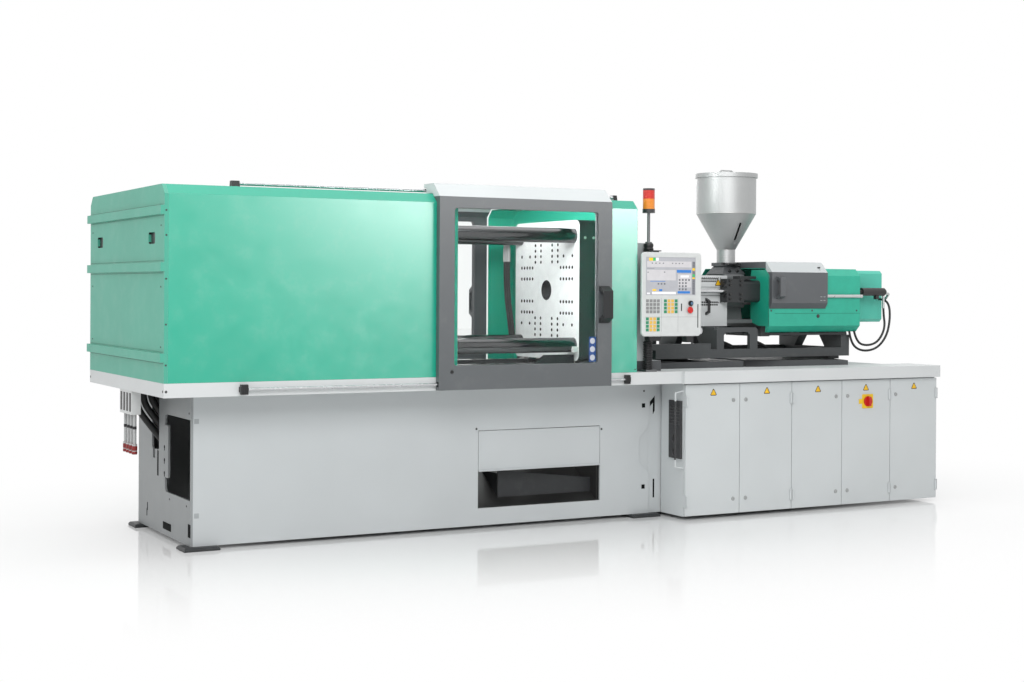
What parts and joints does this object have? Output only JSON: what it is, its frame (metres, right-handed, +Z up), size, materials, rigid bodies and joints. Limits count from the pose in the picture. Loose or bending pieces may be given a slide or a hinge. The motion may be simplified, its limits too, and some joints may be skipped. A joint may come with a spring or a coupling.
{
  "type": "injection moulding machine",
  "caption": "Horizontal injection moulding machine with a hydraulic clamp behind sliding guards, a swivelling injection unit with hopper, an operator panel and an electrical cabinet.",
  "frame": {"origin": "middle of the machine's outline on the floor", "axes": "+Z up, +X along the machine axis from the clamp unit to the injection unit, -Y towards the operator"},
  "size_m": [5.19, 1.704, 2.175],
  "materials": {
    "base_paint": "satin",
    "white_paint": "satin",
    "green_paint": "satin",
    "grey_paint": "satin",
    "dark_paint": "satin",
    "light_paint": "satin",
    "black_paint": "satin",
    "black_steel": "satin",
    "machined_iron": "machined",
    "ground_steel": "ground",
    "chrome_rod": "polished",
    "stainless": "brushed",
    "bare_sheet": "plain",
    "clear_sheet": "clear",
    "black_rubber": "matte",
    "white_plastic": "matte",
    "yellow_plastic": "matte",
    "red_plastic": "gloss",
    "lamp_plastic": "translucent",
    "black_plastic": "matte",
    "screen_glass": "gloss"
  },
  "bodies": {
    "machine": {"machine_base": "base_paint", "levelling_feet": "black_steel", "clamp_tray": "white_paint", "parts_chute": "bare_sheet", "clamp_cover": "green_paint", "clamp_end_panel": "green_paint", "nozzle_side_cover": "green_paint", "guard_rails": "ground_steel", "fixed_platen": "machined_iron", "cylinder_platen": "machined_iron", "tie_bars": "chrome_rod", "platen_slideways": "black_steel", "flow_meters": "white_plastic", "clamp_hoses": "black_rubber", "injection_base": "base_paint", "swivel_base": "dark_paint", "electrical_cabinet": "base_paint", "cabinet_top": "white_paint", "panel_post": "ground_steel", "signal_lamp": "lamp_plastic", "cable_column": "light_paint"},
    "chute_flap": {"chute_flap": "base_paint"},
    "front_guard": {"front_guard": "grey_paint", "front_guard_window": "clear_sheet", "front_guard_handle": "black_paint"},
    "rear_guard": {"rear_guard": "grey_paint", "rear_guard_window": "clear_sheet"},
    "moving_platen": {"moving_platen": "machined_iron", "clamp_piston": "chrome_rod"},
    "ejector": {"ejector": "ground_steel"},
    "injection_bed": {"injection_bed": "dark_paint", "guide_columns": "chrome_rod"},
    "injection_carriage": {"injection_carriage": "dark_paint", "approach_cylinders": "black_steel", "barrel": "ground_steel", "heater_bands": "bare_sheet", "feed_throat": "machined_iron", "hopper": "stainless", "hopper_lid": "stainless", "injection_cover": "green_paint", "rear_drive_cover": "green_paint", "rear_cylinder": "black_steel", "hydraulic_hoses": "black_rubber"},
    "barrel_guard": {"barrel_guard": "white_paint"},
    "screw_drive": {"screw_drive": "dark_paint"},
    "screw": {"screw": "ground_steel"},
    "hopper_gate": {"hopper_gate": "ground_steel"},
    "service_hood": {"service_hood": "grey_paint"},
    "cabinet_door_1": {"cabinet_door_1": "base_paint"},
    "cabinet_door_2": {"cabinet_door_2": "base_paint"},
    "cabinet_door_3": {"cabinet_door_3": "base_paint"},
    "cabinet_door_4": {"cabinet_door_4": "base_paint", "main_switch_plate": "yellow_plastic"},
    "cabinet_door_5": {"cabinet_door_5": "base_paint"},
    "main_switch": {"main_switch_knob": "red_plastic"},
    "control_panel": {"control_panel": "light_paint", "control_screen": "screen_glass", "control_keys": "white_plastic"},
    "emergency_stop": {"emergency_stop": "red_plastic"},
    "mode_switch": {"mode_switch": "black_plastic"}
  },
  "joints": [
    {"name": "front_guard_slide", "type": "slide", "parent": "machine", "child": "front_guard", "axis": [-1, 0, 0], "range_m": [0, 1.05]},
    {"name": "rear_guard_slide", "type": "slide", "parent": "machine", "child": "rear_guard", "axis": [-1, 0, 0], "range_m": [0, 1.05]},
    {"name": "clamp_stroke", "type": "slide", "parent": "machine", "child": "moving_platen", "axis": [1, 0, 0], "range_m": [0, 0.55]},
    {"name": "ejector_stroke", "type": "slide", "parent": "moving_platen", "child": "ejector", "axis": [1, 0, 0], "range_m": [0, 0.14]},
    {"name": "injection_swivel", "type": "hinge", "parent": "machine", "child": "injection_bed", "pos_m": [1.015, 0, 0.945], "axis": [0, 0, 1], "range_deg": [0, 25]},
    {"name": "nozzle_approach", "type": "slide", "parent": "injection_bed", "child": "injection_carriage", "axis": [1, 0, 0], "range_m": [-0.38, 0]},
    {"name": "barrel_guard_slide", "type": "slide", "parent": "injection_carriage", "child": "barrel_guard", "axis": [-1, 0, 0], "range_m": [0, 0.19]},
    {"name": "injection_stroke", "type": "slide", "parent": "injection_carriage", "child": "screw_drive", "axis": [1, 0, 0], "range_m": [0, 0.16]},
    {"name": "screw_spin", "type": "hinge", "parent": "screw_drive", "child": "screw", "pos_m": [1.625, 0, 1.372], "axis": [1, 0, 0], "continuous": true},
    {"name": "hopper_gate_slide", "type": "slide", "parent": "injection_carriage", "child": "hopper_gate", "axis": [0, -1, 0], "range_m": [0, 0.06]},
    {"name": "service_hood_slide", "type": "slide", "parent": "injection_carriage", "child": "service_hood", "axis": [1, 0, 0], "range_m": [0, 0.29]},
    {"name": "cabinet_door_1_hinge", "type": "hinge", "parent": "machine", "child": "cabinet_door_1", "pos_m": [0.605, -0.763, 0.111], "axis": [0, 0, -1], "range_deg": [0, 90]},
    {"name": "cabinet_door_2_hinge", "type": "hinge", "parent": "machine", "child": "cabinet_door_2", "pos_m": [1.385, -0.763, 0.111], "axis": [0, 0, 1], "range_deg": [0, 90]},
    {"name": "cabinet_door_3_hinge", "type": "hinge", "parent": "machine", "child": "cabinet_door_3", "pos_m": [1.405, -0.763, 0.111], "axis": [0, 0, -1], "range_deg": [0, 90]},
    {"name": "cabinet_door_4_hinge", "type": "hinge", "parent": "machine", "child": "cabinet_door_4", "pos_m": [2.185, -0.763, 0.111], "axis": [0, 0, 1], "range_deg": [0, 90]},
    {"name": "cabinet_door_5_hinge", "type": "hinge", "parent": "machine", "child": "cabinet_door_5", "pos_m": [2.585, -0.763, 0.111], "axis": [0, 0, 1], "range_deg": [0, 90]},
    {"name": "main_switch_turn", "type": "hinge", "parent": "cabinet_door_4", "child": "main_switch", "pos_m": [2.005, -0.757, 0.673], "axis": [0, 1, 0], "range_deg": [0, 90]},
    {"name": "panel_swivel", "type": "hinge", "parent": "machine", "child": "control_panel", "pos_m": [0.365, -0.695, 1.611], "axis": [0, 0, 1], "range_deg": [0, 75]},
    {"name": "emergency_stop_push", "type": "slide", "parent": "control_panel", "child": "emergency_stop", "axis": [0, 1, 0], "range_m": [0, 0.006], "stiffness_N_per_m": 600},
    {"name": "mode_switch_turn", "type": "hinge", "parent": "control_panel", "child": "mode_switch", "pos_m": [0.602, -0.79, 1.299], "axis": [0, 1, 0], "range_deg": [0, 90]},
    {"name": "chute_flap_hinge", "type": "hinge", "parent": "machine", "child": "chute_flap", "pos_m": [-0.666, -0.496, 0.557], "axis": [-1, 0, 0], "range_deg": [0, 80]}
  ]
}
